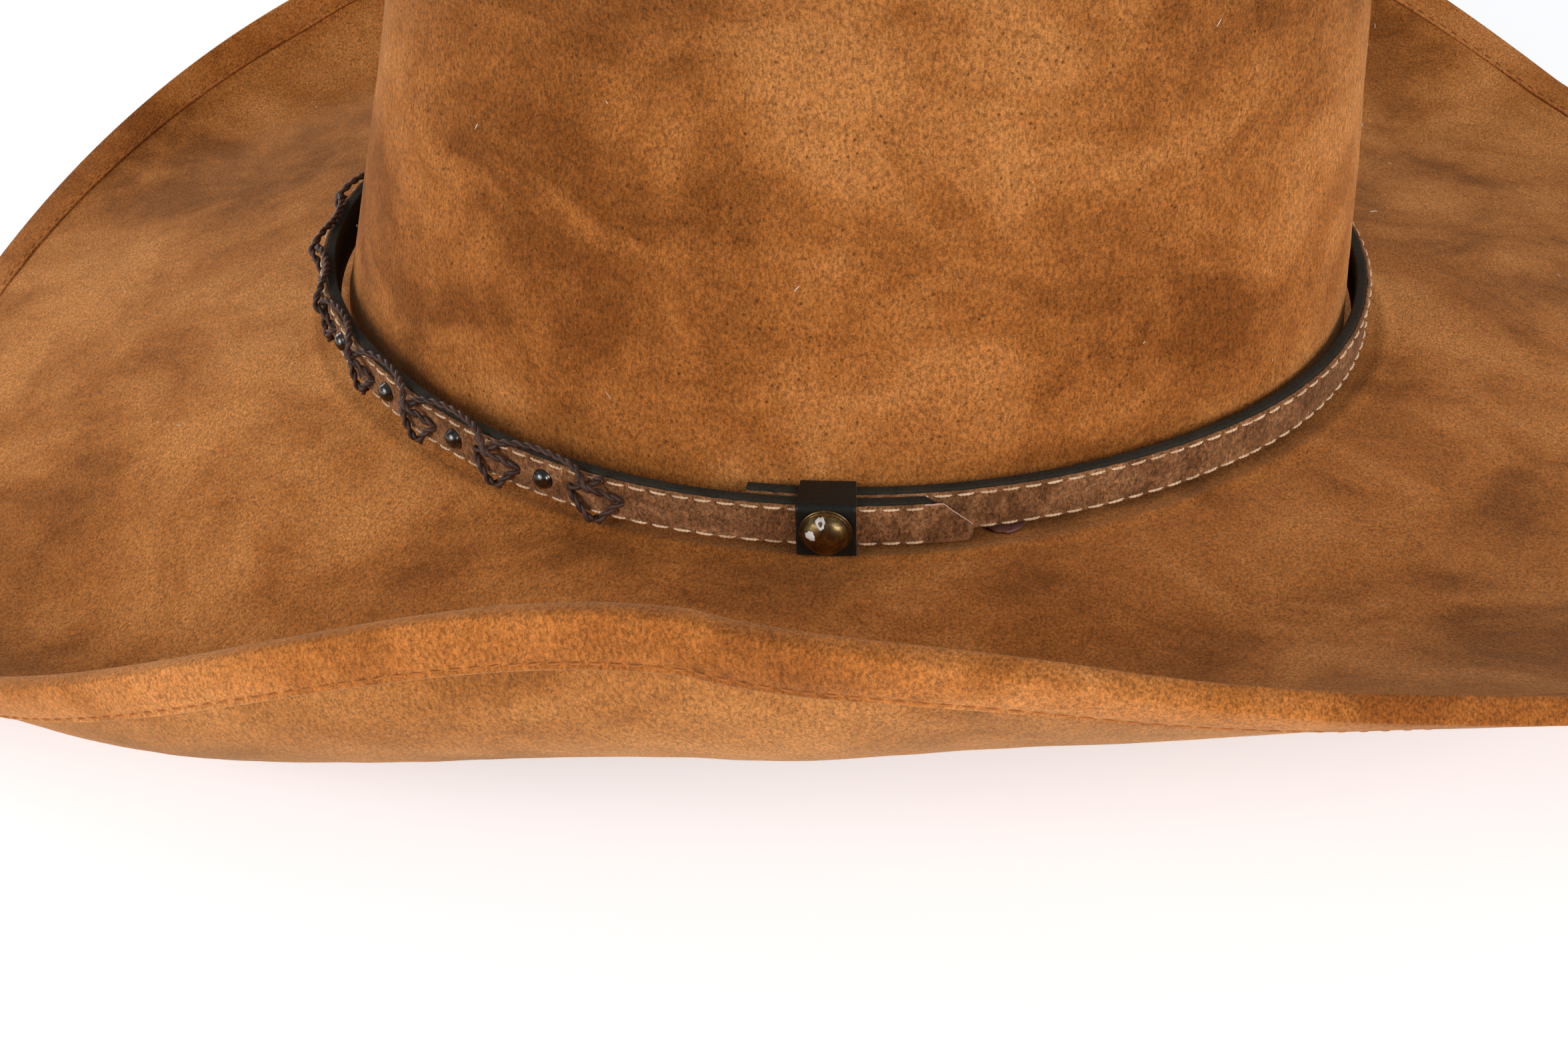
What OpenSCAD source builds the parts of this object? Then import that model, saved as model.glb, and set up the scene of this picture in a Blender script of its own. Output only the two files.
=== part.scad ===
// Western hat with a suede cover, a wired rolled brim, a sewn-in sweatband and a laced strap hatband.
// Frame: +Z up, -Y to the front of the hat, +X to the wearer's left. The origin is the centre of
// the head opening, on the underside of the brim.

/* [Crown] */
// Length of the crown at its base, front to back
crown_len = 210; // [200:1:220]
// Width of the crown at its base
crown_wid = 175; // [170:1:184]
// Radius of the front and back arcs of the crown's oval
end_r = 74; // [66:1:76]
// Height of the crown's shoulder above the brim, at its middle
shoulder_h = 98; // [85:1:104]
// How much higher the shoulder is at the back than at the front
crown_rise = 14; // [0:1:20]
// Inward slope of the front wall, as a share of the height
front_slope = 0.28; // [0.1:0.01:0.3]
// Inward slope of the back wall
back_slope = 0.05; // [0.02:0.01:0.1]
// Inward slope of the side walls
side_slope = 0.09; // [0.04:0.01:0.14]
// Depth of the lengthwise crease in the top
crease_depth = 24; // [10:1:28]
// Depth of the two side dents
dent_depth = 9; // [0:1:12]

/* [Brim] */
// Width of the brim along its surface, at the sides
brim_w = 108; // [95:1:112]
// Extra width of the brim at the front and back
end_extra = 6; // [0:1:10]
// Turn of the rolled sides, in degrees
side_roll = 100; // [60:1:110]
// Width of the level strip between crown and roll, at the sides
side_flat = 43; // [38:1:50]
// Fall of the front, in degrees
front_dip = 16; // [4:1:18]
// Fall of the back, in degrees
back_dip = 4; // [2:1:12]
// Turn of the rolls round the crown, in degrees
brim_turn = 4; // [0:1:6]
// Slight twist of the brim, in degrees: one front quarter and the far back quarter lie lower
brim_twist = 6; // [0:1:6]
// Width of the stitched edge binding
binding_w = 8.5; // [6:0.5:9]

/* [Hatband] */
// Height of the strap
strap_h = 9; // [8:0.1:12]
// Height of the strap above the brim
strap_lift = 2; // [1.8:0.1:4]
// Place of the keeper, as the angle of the oval's normal from the wearer's left
keeper_at = 8; // [0:1:12]
// Width of the keeper loop
keeper_w = 10.6; // [8:0.2:14]
// Distance from one lacing cross to the next
lace_pitch = 22; // [19:0.1:22.5]
// Lacing crosses on each side of the middle one
lace_half = 6; // [1:1:6]

/* [Hidden] */

// Colours
suede = [0.62, 0.36, 0.15];
felt_grey = [0.45, 0.40, 0.35];
strap_brown = [0.42, 0.27, 0.18];
near_black = [0.10, 0.10, 0.10];
cord_brown = [0.20, 0.12, 0.10];
thread_cream = [0.90, 0.78, 0.62];
gunmetal = [0.30, 0.31, 0.30];
old_brass = [0.50, 0.38, 0.18];

// Layers of the brim, from the top down, and of the crown, from the outside in
cover_t = 0.7;
layer_gap = 0.08;
brim_core_t = 1.6;
brim_t = brim_core_t + 2 * cover_t;
crown_core_t = 2.0;
lining_t = 0.4;
crown_t = cover_t + crown_core_t + lining_t;
sweat_gap = 0.3;
sweat_t = 1.0;
sweat_h = 38;

// The four-arc oval: side arcs about [-+side_c, 0] and end arcs about [0, +-end_c]
end_c = crown_len / 2 - end_r;
oval_k = crown_wid / 2 - crown_len / 2 + end_c;
side_c = (end_c * end_c - oval_k * oval_k) / (2 * oval_k);
side_r = crown_wid / 2 + side_c;
join_q = atan2(end_c, side_c);

// Grids
crown_n = 44;
brim_n = 56;
wall_rings = 5;
shoulder_rings = 3;
shoulder_r = 13;
top_shares = [0.8, 0.58, 0.36, 0.16];
crease_half = 15;
dent_y = -26;
dent_z = 84;

// A point of the oval whose outward normal points along angle q, moved outward by d
function oval(q, d) =
    abs(cos(q)) >= cos(join_q)
        ? [-sign(cos(q)) * side_c, 0] + (side_r + d) * [cos(q), sin(q)]
        : [0, sign(sin(q)) * end_c] + (end_r + d) * [cos(q), sin(q)];

// The normal's angle at distance s from the front, along the oval moved outward by d
function front_q(s, d) =
    let (turn = 90 - join_q, end_len = (end_r + d) * turn * PI / 180, a = abs(s))
    -90 + sign(s) * (a < end_len ? a / (end_r + d) * 180 / PI
                                 : turn + (a - end_len) / (side_r + d) * 180 / PI);

function smooth(x) = let (t = min(1, max(0, x))) t * t * (3 - 2 * t);

// ---- Crown ----
function wall_slope(q) =
    side_slope * pow(cos(q), 2) + (sin(q) > 0 ? back_slope : front_slope) * pow(sin(q), 2);
function shoulder_z(q) = brim_t + shoulder_h + crown_rise / 2 * sin(q);
function dent(p) =
    dent_depth * exp(-pow((p[1] - dent_y) / 38, 2)) * exp(-pow((p[2] - dent_z) / 24, 2));
function crease(p) =
    crease_depth * exp(-pow(p[0] / crease_half, 2)) * (1 - 0.75 * smooth((p[1] - 30) / 45));

// The plain crown: straight walls, a round shoulder and a level top
function wall_pt(q, share, off) =
    let (h = shoulder_z(q) - brim_t, p = oval(q, -wall_slope(q) * h * share - off))
    [p[0], p[1], brim_t + h * share];
function shoulder_pt(q, turn, off) =
    let (p = oval(q, -wall_slope(q) * (shoulder_z(q) - brim_t) - off * cos(turn)
                     - shoulder_r * (1 - cos(turn))))
    [p[0], p[1], shoulder_z(q) + shoulder_r * sin(turn) - off * sin(turn)];
function top_pt(q, share, off) =
    let (p = shoulder_pt(q, 90, off))
    [p[0] * share, p[1] * share,
     shoulder_z(0) + shoulder_r - off + crown_rise / 2 * sin(q) * share];
crown_last = wall_rings + shoulder_rings + len(top_shares);
function plain_crown_pt(q, k, off) =
    k <= wall_rings ? wall_pt(q, k / wall_rings, off)
    : k <= wall_rings + shoulder_rings ? shoulder_pt(q, (k - wall_rings) * 90 / shoulder_rings, off)
    : top_pt(q, top_shares[k - wall_rings - shoulder_rings - 1], off);
// The creased crown: side dents pushed in, and the crease pressed down from the shoulder inward
function crown_pt(q, k, off) =
    let (p = plain_crown_pt(q, k, off), d = dent(p) * pow(cos(q), 2),
         press = smooth((k - wall_rings) / shoulder_rings))
    [p[0] - sign(p[0]) * min(abs(p[0]), d), p[1], p[2] - crease(p) * press];
function crown_apex(off) =
    let (p = [0, 0, shoulder_z(0) + shoulder_r - off]) [0, 0, p[2] - crease(p)];

// ---- Brim ----
// A station's place along the hat, from -1 at the front to 1 at the back, turned with the rolls
function along(q) = oval(q - brim_turn, 0)[1] / (crown_len / 2);
function width(q) = brim_w + end_extra * pow(along(q), 2);
// The brim falls by dip(q) over a level strip flat_w(q) wide, then turns up by roll(q)
function roll(q) = let (v = along(q), a = abs(v))
    v < 0 ? side_roll * (1 - pow(a, 4)) + 60 * a * (1 - a) : side_roll * pow(1 - a, 1.15);
function dip(q) = let (v = along(q), a = abs(v))
    (v < 0 ? front_dip * smooth(a / 0.75) : back_dip * smooth((a - 0.5) / 0.5))
    - brim_twist * sin(2 * q);
function flat_w(q) = let (v = along(q), a = abs(v))
    v < 0 ? side_flat + 40 * a * a : side_flat - 6 * smooth(a / 0.3);
// A point of the brim at distance s from the crown. off is the depth below the top.
function brim_pt(q, s, off) =
    let (f = flat_w(q), past = max(0, s - f), half = roll(q) / 2 * past / (width(q) - f),
         chord = half < 0.01 ? past : past * sin(half) / (half * PI / 180),
         fall = s > 0 ? dip(q) : 0, strip = min(s, f), lean = 2 * half - fall,
         out = strip * cos(fall) + chord * cos(half - fall),
         up = -strip * sin(fall) + chord * sin(half - fall),
         p = oval(q, out + off * sin(lean)))
    [p[0], p[1], brim_t + up - off * cos(lean)];
// Rings of the brim's grid, as distances from the crown. The last row holds the edge binding.
edge_row = binding_w;
strip_steps = 2;
roll_steps = 5;
function brim_rings(q) = let (f = flat_w(q), w = width(q))
    concat([-crown_t, 0], [for (k = [1:strip_steps]) f * k / strip_steps],
           [for (k = [1:roll_steps]) f + (w - edge_row - f) * k / roll_steps], [w]);
// A point of the edge row, at a distance in from the edge, on the grid's own straight row
function edge_pt(q, back, off) =
    let (w = width(q), a = brim_pt(q, w - edge_row, off), b = brim_pt(q, w, off))
    b + (a - b) * back / edge_row;

// ---- Solids from sections ----
// Four corners as two triangles, cut from a to c or from b to d
function quad(a, b, c, d, from_a) = from_a ? [[a, b, c], [a, c, d]] : [[a, b, d], [b, c, d]];
// Joins a list of same-length outlines, one per station, into one solid. An outline runs out
// along one face and back along the other, and both faces are cut along the same diagonals.
module lofted(sections, closed = true, flipped = []) {
    n = len(sections);
    m = len(sections[0]);
    last = closed ? n - 1 : n - 2;
    sides = [for (i = [0:last], j = [0:m - 1])
        let (i2 = (i + 1) % n, j2 = (j + 1) % m)
        each quad(i * m + j, i * m + j2, i2 * m + j2, i2 * m + j,
                  (j < m / 2) != (len(search(j, flipped)) > 0))];
    caps = closed ? [] : [[for (j = [m - 1:-1:0]) j], [for (j = [0:m - 1]) (n - 1) * m + j]];
    polyhedron([for (s = sections) each s], concat(sides, caps), convexity = 6);
}
function stations(n) = [for (i = [0:n - 1]) i * 360 / n];
function backward(list) = [for (k = [len(list) - 1:-1:0]) list[k]];

// A domed shell of the crown, from one ring to the apex, between two depths
module crown_dome(first, outer, inner) {
    rings = crown_last - first + 1;
    m = 2 * rings;
    apex = crown_n * m;
    loops = [for (q = stations(crown_n))
        concat([for (k = [first:crown_last]) crown_pt(q, k, outer)],
               [for (k = [crown_last:-1:first]) crown_pt(q, k, inner)])];
    sides = [for (i = [0:crown_n - 1], j = [0:m - 1]) if (j != rings - 1)
        let (i2 = (i + 1) % crown_n, j2 = (j + 1) % m)
        each quad(i * m + j, i * m + j2, i2 * m + j2, i2 * m + j, j < rings)];
    tips = [for (i = [0:crown_n - 1]) let (i2 = (i + 1) % crown_n)
        each [[i * m + rings - 1, apex, i2 * m + rings - 1],
              [i * m + rings, i2 * m + rings, apex + 1]]];
    polyhedron([for (s = loops) each s, crown_apex(outer), crown_apex(inner)],
               concat(sides, tips), convexity = 6);
}

// A band of the crown's wall between two rings and two depths
module crown_ring(first, last, outer, inner)
    lofted([for (q = stations(crown_n))
        concat([for (k = [first:last]) crown_pt(q, k, outer)],
               [for (k = [last:-1:first]) crown_pt(q, k, inner)])]);

// A layer of the brim between two depths, out to a distance short of the edge
module brim_layer(upper, lower, short)
    lofted([for (q = stations(brim_n))
        let (rings = brim_rings(q), inner = [for (k = [0:len(rings) - 2]) rings[k]])
        concat([edge_pt(q, short, lower)], [for (s = backward(inner)) brim_pt(q, s, lower)],
               [for (s = inner) brim_pt(q, s, upper)], [edge_pt(q, short, upper)])]);

module crown_cover() color(suede) crown_dome(0, 0, cover_t - layer_gap);
module crown_body() color(felt_grey) crown_dome(0, cover_t, cover_t + crown_core_t - layer_gap);
module crown_lining_side() color(near_black)
    crown_ring(0, wall_rings, cover_t + crown_core_t, crown_t);
module crown_lining_tip() color(near_black)
    crown_dome(wall_rings, cover_t + crown_core_t, crown_t);
module brim_top_cover() color(suede) brim_layer(0, cover_t - layer_gap, 0);
module brim_under_cover() color(suede) brim_layer(brim_t - cover_t + layer_gap, brim_t, 0);
module brim_interlining() color(felt_grey) 
    brim_layer(cover_t + core_room, brim_t - cover_t - core_room, wire_in + wire_r + wire_room);

// A tube along a list of points given with the two axes of its section
function tube_section(at, u, v, r, sides) =
    [for (j = [0:sides - 1]) let (a = 360 * j / sides) at + r * (u * cos(a) + v * sin(a))];
// A hoop round the brim's edge row. The outline lists [distance in from the edge, depth].
module brim_hoop(outline, flipped = [])
    lofted([for (q = stations(brim_n)) [for (c = outline) edge_pt(q, c[0], c[1])]],
           flipped = flipped);
function hoop_circle(back, depth, r, sides) =
    [for (a = [0:360 / sides:359]) [back - r * cos(a), depth + r * sin(a)]];

wire_r = 0.7;
wire_in = 1.05;
wire_room = 0.15;
core_room = 0.25;
binding_t = 0.7;
binding_gap = 0.1;
thread_r = 0.25;
thread_room = 0.25;
hem_in = 1.2;
module brim_wire() color("silver") brim_hoop(hoop_circle(wire_in, brim_t / 2, wire_r, 6));
// The binding folds round the edge. Its first side lies along the underside, so it is cut as that is.
module brim_edge_binding() color(suede) {
    over = -binding_gap;
    under = brim_t + binding_gap;
    brim_hoop([[binding_w, under], [over, under], [over, over], [binding_w, over],
               [binding_w, -binding_t], [over, -binding_t], [-binding_t, over],
               [-binding_t, under], [over, brim_t + binding_t], [binding_w, brim_t + binding_t]],
              flipped = [0, 4, 8]);
}
module binding_stitching() color(suede)
    for (side = [-1, 1])
        brim_hoop(hoop_circle(binding_w - hem_in,
                              brim_t / 2 + side * (brim_t / 2 + binding_t + thread_r + thread_room),
                              thread_r, 4));

// ---- Sweatband ----
sweat_out = crown_t + sweat_gap;
// A point of the inside, leaning in with the wall, at height z and depth off from the crown's face
function inside_pt(q, z, off) = let (p = oval(q, -wall_slope(q) * max(0, z) - off)) [p[0], p[1], z];
module wall_band(z1, z2, outer, inner)
    lofted([for (q = stations(crown_n))
        [for (c = [[z1, outer], [z2, outer], [z2, inner], [z1, inner]]) inside_pt(q, c[0], c[1])]]);
module inner_hoop(off, z, r, sides)
    lofted([for (q = stations(crown_n))
        [for (a = [0:360 / sides:359]) inside_pt(q, z, off + r * cos(a)) + [0, 0, r * sin(a)]]]);
module sweatband() color([0.35, 0.22, 0.13]) wall_band(0, sweat_h, sweat_out, sweat_out + sweat_t);
reed_r = 0.8;
module sweatband_reed() color("black")
    inner_hoop(sweat_out + sweat_t / 2, -reed_r - 0.05, reed_r, 6);
module sweatband_stitching() color(thread_cream)
    inner_hoop(sweat_out + sweat_t + thread_r + 0.05, 3, thread_r, 4);
bow_t = 1;
knot_r = 1.6;
bow_out = 1.3;
bow_y = inside_pt(90, sweat_h, sweat_out + sweat_t)[1] - bow_out;
module sweatband_bow() color(near_black) translate([0, bow_y, sweat_h - 6]) rotate([90, 0, 0]) {
    for (side = [-1, 1])
        linear_extrude(bow_t)
            polygon([[side * knot_r, 1.4], [side * 9, 4], [side * 11, 0], [side * 9, -4],
                     [side * knot_r, -1.4]]);
    cylinder(r = knot_r, h = bow_t + 0.6, $fn = 32);
}
tag = [0.4, 14, 9];
module size_tag() color("white")
    translate([inside_pt(180, sweat_h, sweat_out + sweat_t)[0] + 0.5, -tag[1] / 2, sweat_h - 14])
        cube(tag);

// ---- Hatband ----
strap_z = brim_t + strap_lift;
strap_mid = strap_z + strap_h / 2;
core_t = 2.0;
face_t = 0.8;
strap_t = core_t + face_t;
strap_gap = 1.2;
face_inset = 0.35;
start_q = keeper_at - 7;
ramp_end = 360 + keeper_at - 8;
ramp_len = 60;
tail_q = 360 + keeper_at + 12;
strap_n = 96;
// The strap's inner offset: one thickness further out over the last turn's ramp and overlap
layer_step = strap_t + 2 * thread_r + 0.05;
function strap_d(q) = strap_gap + layer_step * smooth((q - ramp_end + ramp_len) / ramp_len);
module strap_run(d1, d2, inset, to, tip)
    lofted([for (i = [0:strap_n]) let (q = start_q + (to - start_q) * i / strap_n, d = strap_d(q),
                                       pinch = tip * smooth((q - to + 2) / 2),
                                       lo = strap_z + inset + pinch,
                                       hi = strap_z + strap_h - inset - pinch)
        [for (c = [[d1, lo], [d2, lo], [d2, hi], [d1, hi]])
            let (p = oval(q, d + c[0])) [p[0], p[1], c[1]]]], closed = false);
// A place on the strap's face: distance from the front, height, distance outward from the face
function face_q(s) = let (q = front_q(s, strap_gap + strap_t)) q < start_q - 0.5 ? q + 360 : q;
function on_face(s, v, w) =
    let (q = face_q(s), p = oval(q, strap_d(q) + strap_t + w)) [p[0], p[1], strap_mid + v];
module at_face(s) {
    q = face_q(s);
    translate(on_face(s, 0, 0)) rotate([0, 0, q]) rotate([0, 90, 0]) children();
}
hole_r = 0.8;
hole_half = lace_pitch / 4;
post_r = 0.7;
module strap_holes() {
    for (k = [-lace_half:lace_half], side = [-1, 1])
        at_face(k * lace_pitch + side * hole_half)
            translate([0, 0, -strap_t - 1]) cylinder(r = hole_r, h = strap_t + 2, $fn = 24);
    for (s = stud_places)
        at_face(s) translate([0, 0, -strap_t - 1]) cylinder(r = post_r, h = strap_t + 2, $fn = 24);
}
stud_places = [for (k = [-lace_half:lace_half - 1]) (k + 0.5) * lace_pitch];
module strap_core() color(near_black) difference() {
    strap_run(0, core_t, 0, tail_q, 0);
    strap_holes();
}
module strap_face() color(strap_brown) difference() {
    strap_run(core_t, strap_t, face_inset, tail_q, 0);
    strap_holes();
}

// Edge stitching: a thread on the face along the whole strap
module strap_thread(v)
    lofted([for (i = [0:strap_n]) let (q = start_q + (tail_q - start_q) * i / strap_n,
                                       d = strap_d(q) + strap_t)
        [for (c = [[0, -thread_r], [2 * thread_r, -thread_r], [2 * thread_r, thread_r], [0, thread_r]])
            let (p = oval(q, d + c[0])) [p[0], p[1], strap_mid + v + c[1]]]], closed = false);
stitch_in = 0.85;
stitch_v = strap_h / 2 - stitch_in;
module strap_stitching_upper() color(thread_cream) strap_thread(stitch_v);
module strap_stitching_lower() color(thread_cream) strap_thread(-stitch_v);

// Lacing: from each cross's left hole up over the strap's top to the next cross's right hole,
// then back under the strap's lower edge to that cross's left hole
cord_r = 0.65;
lie = cord_r + 0.05;
over_thread = lie + 2 * thread_r + 0.1;
lace_route = [for (k = [-lace_half:lace_half]) let (s = k * lace_pitch, edge = strap_h / 2)
    each [[s + hole_half - 0.3, 0.2, lie], [s + 2.6, -2.4, over_thread],
          [s + 0.9, -edge - 0.3, over_thread], [s, -edge - 0.8, 0.1],
          [s - 0.9, -edge - 0.3, over_thread], [s - 2.8, -2.4, over_thread],
          [s - hole_half + 0.3, 0.2, lie],
          [s - 2.4, 1.6, lie], [s, 2.9, over_thread], [s + 2.6, edge + 0.5, lie],
          [s + lace_pitch / 2 - 3, edge + 0.8, -0.6], [s + lace_pitch / 2 + 3, edge + 0.8, -0.6],
          [s + lace_pitch - 2.6, edge + 0.7, 1.3], [s + lace_pitch, 2.9, 3 * lie + 2 * thread_r + 0.1],
          [s + lace_pitch + 2.4, 1.6, 2 * lie]]];
module lacing_cord() color(cord_brown) {
    points = [for (i = [0:len(lace_route) - 6]) let (c = lace_route[i]) on_face(c[0], c[1], c[2])];
    n = len(points);
    lofted([for (i = [0:n - 1])
        let (t = points[min(n - 1, i + 1)] - points[max(0, i - 1)], dir = t / norm(t),
             q = face_q(lace_route[i][0]), out = [cos(q), sin(q), 0],
             side = cross(dir, out), u = side / norm(side), v = cross(u, dir))
        tube_section(points[i], u, v, cord_r, 6)], closed = false);
}

// Domed studs between the crosses, each on a post through the strap
stud_r = 2.05;
stud_lift = 0.06;
module stud_domes() color(gunmetal) for (s = stud_places) at_face(s) translate([0, 0, stud_lift])
    rotate_extrude($fn = 48) polygon(concat([[0, 0], [stud_r, 0]],
        [for (a = [15:15:75]) stud_r * [cos(a), sin(a)]], [[0, stud_r]]));
module stud_posts() color(gunmetal) for (s = stud_places) at_face(s)
    translate([0, 0, -strap_t]) cylinder(r = post_r, h = strap_t + stud_lift, $fn = 24);

// ---- Keeper: a loop round the overlapped strap, held closed by a riveted dome ----
loop_t = 0.9;
loop_gap = 0.3;
rivet_room = 0.6;
rivet_head = 0.4;
keeper_in = side_r + strap_gap - loop_gap;
keeper_out = side_r + strap_gap + layer_step + strap_t + 2 * thread_r + rivet_room;
keeper_half = keeper_w / 2 / keeper_out * 180 / PI;
loop_in_t = 0.6;
module around_side() translate([-side_c, 0, 0]) rotate([0, 0, keeper_at - keeper_half]) children();
module keeper_loop() color(near_black) difference() {
    around_side() rotate_extrude(angle = 2 * keeper_half, $fn = 360) difference() {
        translate([keeper_in - loop_in_t, strap_z - loop_t - 0.2])
            square([keeper_out + loop_t - keeper_in + loop_in_t, strap_h + 2 * loop_t + 0.4]);
        translate([keeper_in, strap_z - 0.2]) square([keeper_out - keeper_in, strap_h + 0.4]);
    }
    at_keeper() translate([0, 0, -loop_t - 0.5])
        cylinder(r = rivet_r + 0.03, h = loop_t + 1, $fn = 32);
}
rivet_r = 1.0;
concho_r = 4.7;
concho_h = 3.5;
concho_up = 0.6;
module at_keeper() translate([-side_c, 0, 0]) rotate([0, 0, keeper_at])
    translate([keeper_out + loop_t, 0, strap_mid]) rotate([0, 90, 0]) children();
concho_lift = 0.15;
concho_ball = (concho_r * concho_r + concho_h * concho_h) / (2 * concho_h);
module keeper_concho() color(old_brass) at_keeper() translate([-concho_up, 0, concho_lift]) {
    translate([0, 0, concho_h - concho_ball]) intersection() {
        sphere(r = concho_ball, $fn = 96);
        translate([0, 0, concho_ball - concho_h])
            cylinder(r = concho_r, h = concho_h + 1, $fn = 96);
    }
}
module keeper_rivet() color(gunmetal) at_keeper() {
    translate([0, 0, -loop_t]) cylinder(r = rivet_r, h = loop_t + concho_lift, $fn = 32);
    translate([0, 0, -loop_t - rivet_head]) cylinder(r = 2, h = rivet_head, $fn = 32);
}

crown_cover();
crown_body();
crown_lining_side();
crown_lining_tip();
brim_top_cover();
brim_interlining();
brim_under_cover();
brim_wire();
brim_edge_binding();
binding_stitching();
sweatband();
sweatband_reed();
sweatband_stitching();
sweatband_bow();
size_tag();
strap_core();
strap_face();
strap_stitching_upper();
strap_stitching_lower();
lacing_cord();
stud_domes();
stud_posts();
keeper_loop();
keeper_concho();
keeper_rivet();
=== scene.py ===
# Looks of the western hat: smooth suede shells, sewn edges, laced strap and keeper, round the CAD frame.
import math
import random
import bpy
import numpy as np
from mathutils import Matrix, Vector, noise


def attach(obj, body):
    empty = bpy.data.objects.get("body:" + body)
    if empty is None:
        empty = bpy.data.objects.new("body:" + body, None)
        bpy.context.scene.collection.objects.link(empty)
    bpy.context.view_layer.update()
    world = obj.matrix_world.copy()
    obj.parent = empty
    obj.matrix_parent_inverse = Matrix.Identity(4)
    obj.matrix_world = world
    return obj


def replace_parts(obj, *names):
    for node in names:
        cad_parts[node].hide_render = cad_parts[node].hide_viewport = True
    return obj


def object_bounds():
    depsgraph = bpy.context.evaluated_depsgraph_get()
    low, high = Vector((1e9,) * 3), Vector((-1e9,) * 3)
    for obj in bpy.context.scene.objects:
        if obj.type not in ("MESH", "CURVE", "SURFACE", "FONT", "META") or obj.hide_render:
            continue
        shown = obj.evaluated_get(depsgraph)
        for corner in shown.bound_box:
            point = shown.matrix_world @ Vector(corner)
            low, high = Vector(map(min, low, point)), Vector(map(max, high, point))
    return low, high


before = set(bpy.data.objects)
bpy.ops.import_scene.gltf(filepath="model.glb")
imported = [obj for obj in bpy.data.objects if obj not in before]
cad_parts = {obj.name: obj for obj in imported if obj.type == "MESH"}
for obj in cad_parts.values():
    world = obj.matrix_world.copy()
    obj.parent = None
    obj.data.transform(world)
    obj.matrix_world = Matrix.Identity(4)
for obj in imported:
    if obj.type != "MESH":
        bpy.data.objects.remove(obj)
cad_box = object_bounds()
MM = 0.001
rng = random.Random(7)

# ---- Design values, in millimetres and degrees: the hat's sizes are those of the CAD ----
# Crown: +y is the back, and q is the direction round it, from +x over the back.
CROWN_LEN = 210.0
CROWN_WID = 175.0
END_R = 74.0
SHOULDER_H = 98.0
SHOULDER_R = 13.0
CROWN_RISE = 14.0
FRONT_SLOPE = 0.28
BACK_SLOPE = 0.05
SIDE_SLOPE = 0.09
CREASE_DEPTH = 24.0
CREASE_HALF = 15.0
CREASE_LESS = 0.75
CREASE_FADE_Y = 30
CREASE_FADE_LEN = 45
DENT_DEPTH = 9.0
DENT_Y = -26.0
DENT_Z = 84.0
DENT_LONG = 38
DENT_TALL = 24
# Height over which painted shade darkens the crown's suede toward its top.
TOP_SHADE_Z = 110

# Layers, from the outside in. The gap between them is smaller than the CAD's.
COVER_T = 0.7
CROWN_CORE_T = 2.0
LINING_T = 0.4
CROWN_T = COVER_T + CROWN_CORE_T + LINING_T
LAYER_GAP = 0.02

# Brim: it dips at its ends and rolls up at its sides.
BRIM_W = 108.0
BRIM_T = 3.0
END_EXTRA = 6.0
SIDE_ROLL = 100.0
FRONT_ROLL = 60
SIDE_FLAT = 43.0
FRONT_FLAT = 40
BACK_FLAT = 6
FRONT_DIP = 16.0
BACK_DIP = 4.0
BRIM_TURN = 4.0
BRIM_TWIST = 6.0
CORE_SHORT = 1.9
BINDING_W = 8.5
BINDING_T = 0.7
HEM_IN = 7.3
HEM_STITCHES = 368
WIRE_R = 0.7
WIRE_IN = 1.05

# Sweatband: off is how far a surface lies inside the crown's outer oval.
SWEAT_H = 38.0
SWEAT_T = 1.0
SWEAT_OUT = CROWN_T + 0.3
SWEAT_STITCHES = 150
SWEAT_STITCH_Z = 3.0
REED_R = 0.8
BOW_Z = 32
TAG_LOW = 24
TAG_HIGH = 33
TAG_HALF = 7

# Hatband: its strap overlaps itself between START_Q and TAIL_Q.
STRAP_H = 9.0
STRAP_Z = BRIM_T + 2.0
STRAP_MID = STRAP_Z + STRAP_H / 2
STRAP_GAP = 1.2
CORE_T = 2.0
FACE_T = 0.8
STRAP_T = CORE_T + FACE_T
THREAD_R = 0.25
LAYER_STEP = STRAP_T + 2 * THREAD_R + 0.05
STITCH_IN = 0.85
STITCH_PITCH = 4.07
LACE_PITCH = 22.0
LACE_HALF = 6
HOLE_HALF = LACE_PITCH / 4
CORD_R = 0.65
PLY_R = 0.44
PLY_ORBIT = 0.34
PLY_TWIST = 0.21
STUD_R = 2.05

# Keeper, its dome, and the strap's ends, which lie beside the keeper.
KEEPER_AT = 8.0
KEEPER_W = 10.6
LOOP_T = 0.9
CONCHO_R = 4.7
CONCHO_H = 3.5
CONCHO_UP = 0.6
START_Q = KEEPER_AT - 7
RAMP_END = 352 + KEEPER_AT
RAMP_LEN = 60.0
TAIL_Q = 372 + KEEPER_AT
TAIL_POINT = 5.0
TAIL_ROUND = 1.6

# The crown's oval: two end arcs of END_R, two side arcs of side_r, joined at join_q.
end_c = CROWN_LEN / 2 - END_R
oval_k = CROWN_WID / 2 - CROWN_LEN / 2 + end_c
side_c = (end_c ** 2 - oval_k ** 2) / (2 * oval_k)
side_r = CROWN_WID / 2 + side_c
join_q = math.degrees(math.atan2(end_c, side_c))


def smooth(x):
    """A soft step from 0 to 1."""
    t = np.clip(x, 0, 1)
    return t * t * (3 - 2 * t)


def oval(q, d):
    """Point of the crown's oval whose normal points along q degrees, moved outward by d."""
    c, s = np.cos(np.radians(q)), np.sin(np.radians(q))
    side = np.abs(c) >= math.cos(math.radians(join_q))
    x = np.where(side, -np.sign(c) * side_c + (side_r + d) * c, (END_R + d) * c)
    y = np.where(side, (side_r + d) * s, np.sign(s) * end_c + (END_R + d) * s)
    return x, y


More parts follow.
